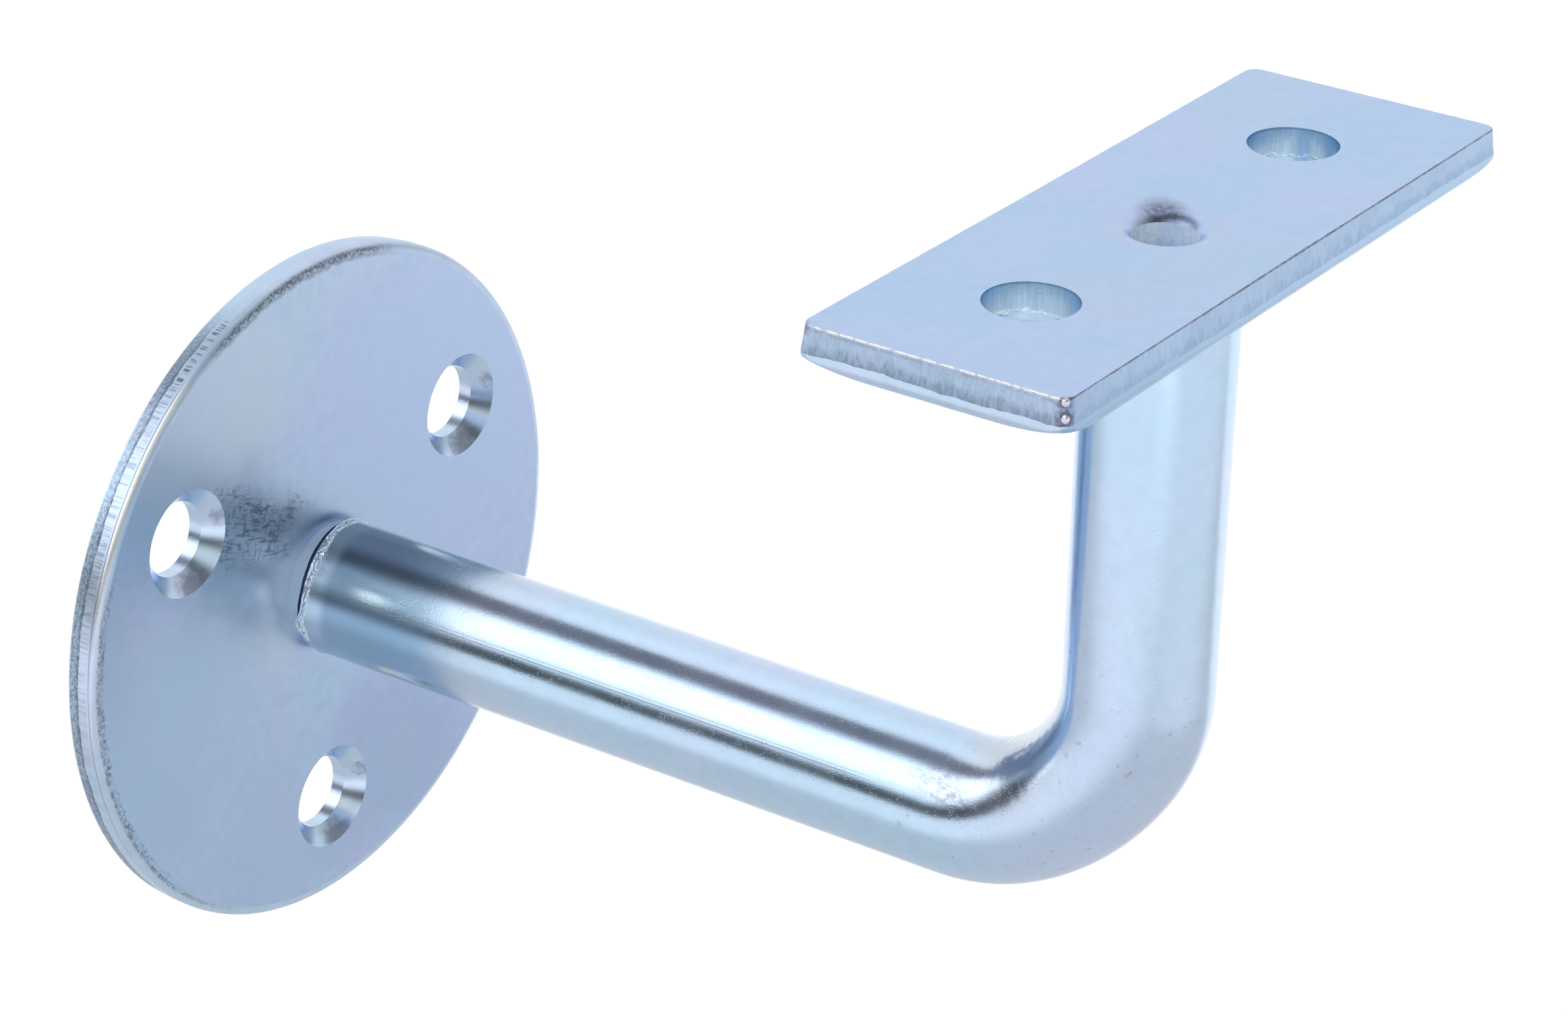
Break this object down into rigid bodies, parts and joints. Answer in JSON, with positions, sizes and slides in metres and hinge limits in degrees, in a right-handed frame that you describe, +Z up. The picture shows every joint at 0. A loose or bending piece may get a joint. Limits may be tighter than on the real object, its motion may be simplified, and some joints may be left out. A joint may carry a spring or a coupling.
{
  "type": "handrail bracket",
  "caption": "Handrail bracket: a round wall plate, a round bar bent through a right angle, and a flat plate that the rail is screwed to.",
  "frame": {"origin": "centre of the wall plate's back, on the wall", "axes": "+Y points into the wall, +Z is up, and the rail runs along X above the end of the arm"},
  "size_m": [0.076, 0.1115, 0.1],
  "materials": {
    "wall_plate_zinc": "bright zinc plating with a blue passivated bloom, semi-gloss",
    "arm_zinc": "bright zinc plating on drawn bar, satin with long faint draw lines",
    "rail_plate_zinc": "bright zinc plating with a blue passivated bloom, semi-gloss",
    "weld_zinc": "bright zinc plating over rough weld flash"
  },
  "bodies": {
    "root": {"wall_plate": "wall_plate_zinc", "arm": "arm_zinc", "rail_plate": "rail_plate_zinc", "wall_weld": "weld_zinc", "rail_weld": "weld_zinc"}
  },
  "joints": []
}
